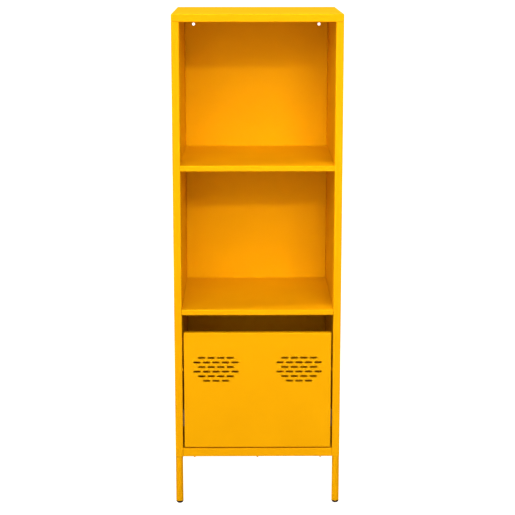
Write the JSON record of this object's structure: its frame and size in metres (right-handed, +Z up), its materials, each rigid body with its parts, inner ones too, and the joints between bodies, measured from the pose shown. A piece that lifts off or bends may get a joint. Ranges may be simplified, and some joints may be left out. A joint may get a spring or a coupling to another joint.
{
  "type": "metal highboard with drawer",
  "caption": "Tall narrow powder-coated steel highboard: open shelf bays above a slotted pull-out drawer on ball slides, standing on round tube legs.",
  "frame": {"origin": "on the floor, under the middle of the body's width and depth", "axes": "+Z up along the height, the open front faces -Y, +X to the right as seen from the front"},
  "size_m": [0.425, 0.39, 1.2645],
  "materials": {
    "yellow_paint": "satin fine-texture powder coat",
    "zinc_steel": "bright zinc plate",
    "polished_steel": "polished",
    "black_plastic": "moulded matte"
  },
  "bodies": {
    "cabinet": {"back_panel": "yellow_paint", "back_panel_screws": "yellow_paint", "base_panel": "yellow_paint", "base_rail_screws": "yellow_paint", "base_screws": "zinc_steel", "base_stiffener": "zinc_steel", "foot_cap_front_left": "black_plastic", "foot_cap_front_right": "black_plastic", "foot_cap_rear_left": "black_plastic", "foot_cap_rear_right": "black_plastic", "leg_front_left": "yellow_paint", "leg_front_right": "yellow_paint", "leg_nut_plate_front_left": "zinc_steel", "leg_nut_plate_front_right": "zinc_steel", "leg_nut_plate_rear_left": "zinc_steel", "leg_nut_plate_rear_right": "zinc_steel", "leg_rear_left": "yellow_paint", "leg_rear_right": "yellow_paint", "lower_shelf_screws": "zinc_steel", "shelf_lower": "yellow_paint", "shelf_upper": "yellow_paint", "side_liner_left": "yellow_paint", "side_liner_right": "yellow_paint", "side_skin_left": "yellow_paint", "side_skin_right": "yellow_paint", "slide_bracket_front_left": "zinc_steel", "slide_bracket_front_right": "zinc_steel", "slide_bracket_rear_left": "zinc_steel", "slide_bracket_rear_right": "zinc_steel", "slide_bracket_screws": "yellow_paint", "slide_bumpers": "black_plastic", "slide_cabinet_left": "zinc_steel", "slide_cabinet_right": "zinc_steel", "slide_cabinet_screws": "zinc_steel", "top_panel": "yellow_paint", "top_screws": "zinc_steel", "upper_shelf_screws": "zinc_steel"},
    "outer_cages": {"outer_balls": "polished_steel", "outer_cage_left": "zinc_steel", "outer_cage_right": "zinc_steel"},
    "slide_middles": {"slide_middle_left": "zinc_steel", "slide_middle_right": "zinc_steel"},
    "inner_cages": {"inner_balls": "polished_steel", "inner_cage_left": "zinc_steel", "inner_cage_right": "zinc_steel"},
    "drawer": {"drawer_back": "yellow_paint", "drawer_back_rivets": "zinc_steel", "drawer_bottom": "yellow_paint", "drawer_bottom_rivets": "zinc_steel", "drawer_front": "yellow_paint", "drawer_front_screws": "zinc_steel", "drawer_side_left": "yellow_paint", "drawer_side_right": "yellow_paint", "slide_drawer_left": "zinc_steel", "slide_drawer_right": "zinc_steel", "slide_drawer_screws": "zinc_steel", "slide_release_levers": "black_plastic"}
  },
  "joints": [
    {"name": "drawer_slide", "type": "slide", "parent": "cabinet", "child": "drawer", "axis": [0, -1, 0], "range_m": [0, 0.35]},
    {"name": "middle_slide", "type": "slide", "parent": "cabinet", "child": "slide_middles", "axis": [0, -1, 0], "range_m": [0, 0.175]},
    {"name": "outer_cage_slide", "type": "slide", "parent": "cabinet", "child": "outer_cages", "axis": [0, -1, 0], "range_m": [0, 0.0875]},
    {"name": "inner_cage_slide", "type": "slide", "parent": "cabinet", "child": "inner_cages", "axis": [0, -1, 0], "range_m": [0, 0.2625]}
  ],
  "couplings": [
    {"joint": "middle_slide", "follows": "drawer_slide", "ratio": 0.5},
    {"joint": "outer_cage_slide", "follows": "drawer_slide", "ratio": 0.25},
    {"joint": "inner_cage_slide", "follows": "drawer_slide", "ratio": 0.75}
  ]
}
